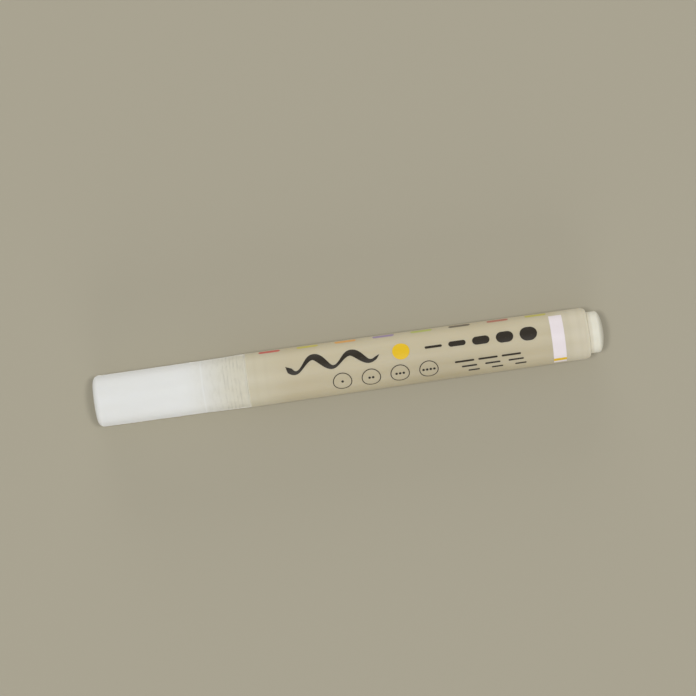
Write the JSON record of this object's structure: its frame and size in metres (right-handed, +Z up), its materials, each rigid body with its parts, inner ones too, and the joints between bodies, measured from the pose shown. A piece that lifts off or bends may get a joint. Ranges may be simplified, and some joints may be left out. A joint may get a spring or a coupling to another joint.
{
  "type": "paint marker",
  "caption": "Round paint marker: tapered translucent barrel, frosted pull-off cap with an inner cap, push-in bullet nib that opens a spring valve, domed tail plug, loose mixing ball.",
  "frame": {"origin": "middle of the marker's length and width, on the surface that it lies on", "axes": "+X along the marker from the cap to the tail plug, +Z up through the printed side, +Y across the marker"},
  "size_m": [0.142, 0.015, 0.0149],
  "materials": {
    "barrel_plastic": "satin",
    "plug_plastic": "satin",
    "section_plastic": "satin",
    "valve_plastic": "satin",
    "spring_wire": "satin",
    "nib_fibre": "matte",
    "seal_rubber": "matte",
    "cap_plastic": "satin",
    "inner_cap_plastic": "satin",
    "ball_steel": "polished"
  },
  "bodies": {
    "barrel": {"barrel_tube": "barrel_plastic", "tail_plug": "plug_plastic", "front_section": "section_plastic", "valve_housing": "valve_plastic", "spring_retainer": "valve_plastic", "valve_spring": "spring_wire"},
    "nib": {"nib": "nib_fibre", "valve_stem": "valve_plastic", "valve_gasket": "seal_rubber"},
    "cap": {"cap_shell": "cap_plastic", "inner_cap": "inner_cap_plastic"},
    "mixing_ball": {"mixing_ball": "ball_steel"}
  },
  "joints": [
    {"name": "cap_pull", "type": "slide", "parent": "barrel", "child": "cap", "axis": [-1, 0, 0], "range_m": [0, 0.06]},
    {"name": "nib_press", "type": "slide", "parent": "barrel", "child": "nib", "axis": [1, 0, 0], "range_m": [0, 0.0025], "stiffness_N_per_m": 260, "deforming": ["valve_spring"]},
    {"name": "ball_roll", "type": "slide", "parent": "barrel", "child": "mixing_ball", "axis": [1, 0, 0], "range_m": [-0.0166, 0.0503]}
  ]
}
